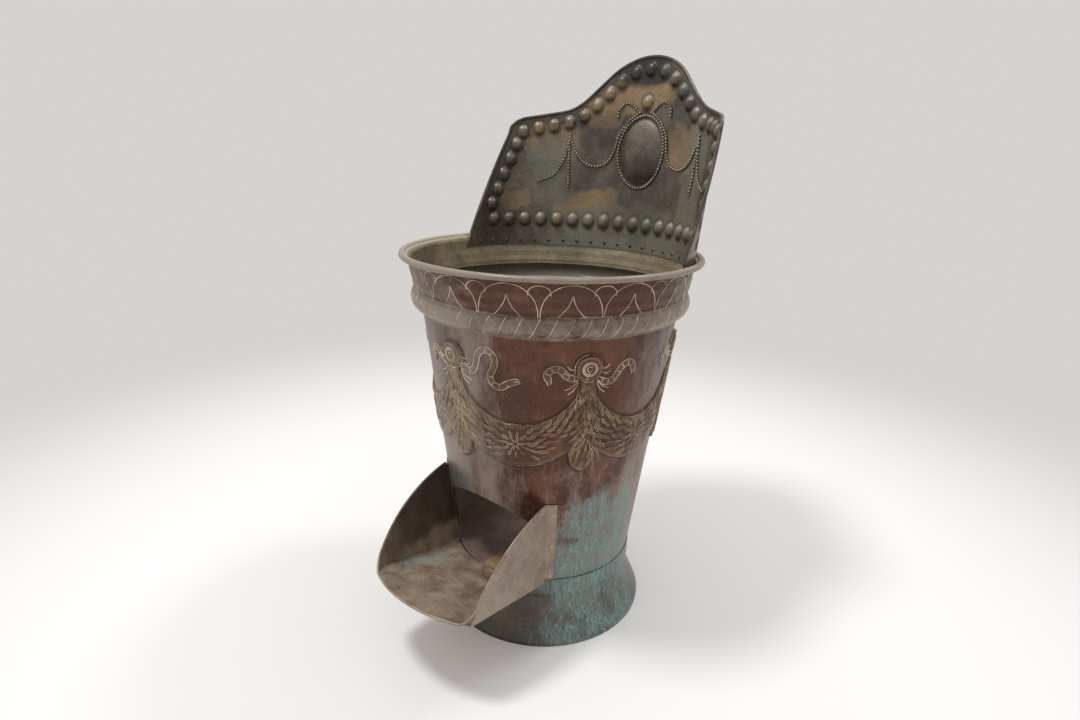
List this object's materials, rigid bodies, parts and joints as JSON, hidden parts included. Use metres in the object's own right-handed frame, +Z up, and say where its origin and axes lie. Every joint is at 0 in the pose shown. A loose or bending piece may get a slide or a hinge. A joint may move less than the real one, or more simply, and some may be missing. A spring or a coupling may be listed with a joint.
{
  "type": "log carrier",
  "caption": "Tapered copper hearth bin for logs, with an embossed wrap-around back panel, a rope-moulded collar, a flared foot and a scoop tray at a low arched mouth.",
  "frame": {"origin": "centre of the foot's standing ring, on the floor", "axes": "+Z up along the bin's axis, -Y towards the tray's lip, +X to the right of someone who stands behind the bin and looks towards the tray"},
  "size_m": [0.388, 0.4719, 0.7553],
  "materials": {
    "body_copper": "aged copper with a brown and mauve patina and verdigris",
    "panel_copper": "aged copper with a dark brown-grey patina",
    "tray_copper": "aged copper, worn and dusty",
    "foot_copper": "dark aged copper with verdigris",
    "rim_copper": "aged copper, rubbed pale",
    "wire_iron": "dull"
  },
  "bodies": {
    "root": {"body_wall": "body_copper", "neck_strap": "foot_copper", "foot_skirt": "foot_copper", "bottom_plate": "foot_copper", "collar": "rim_copper", "rim_wire": "wire_iron", "back_panel": "panel_copper", "panel_edge_roll": "panel_copper", "panel_rivets": "panel_copper", "tray": "tray_copper", "tray_edge_roll": "tray_copper", "tray_rivets": "tray_copper"}
  },
  "joints": []
}
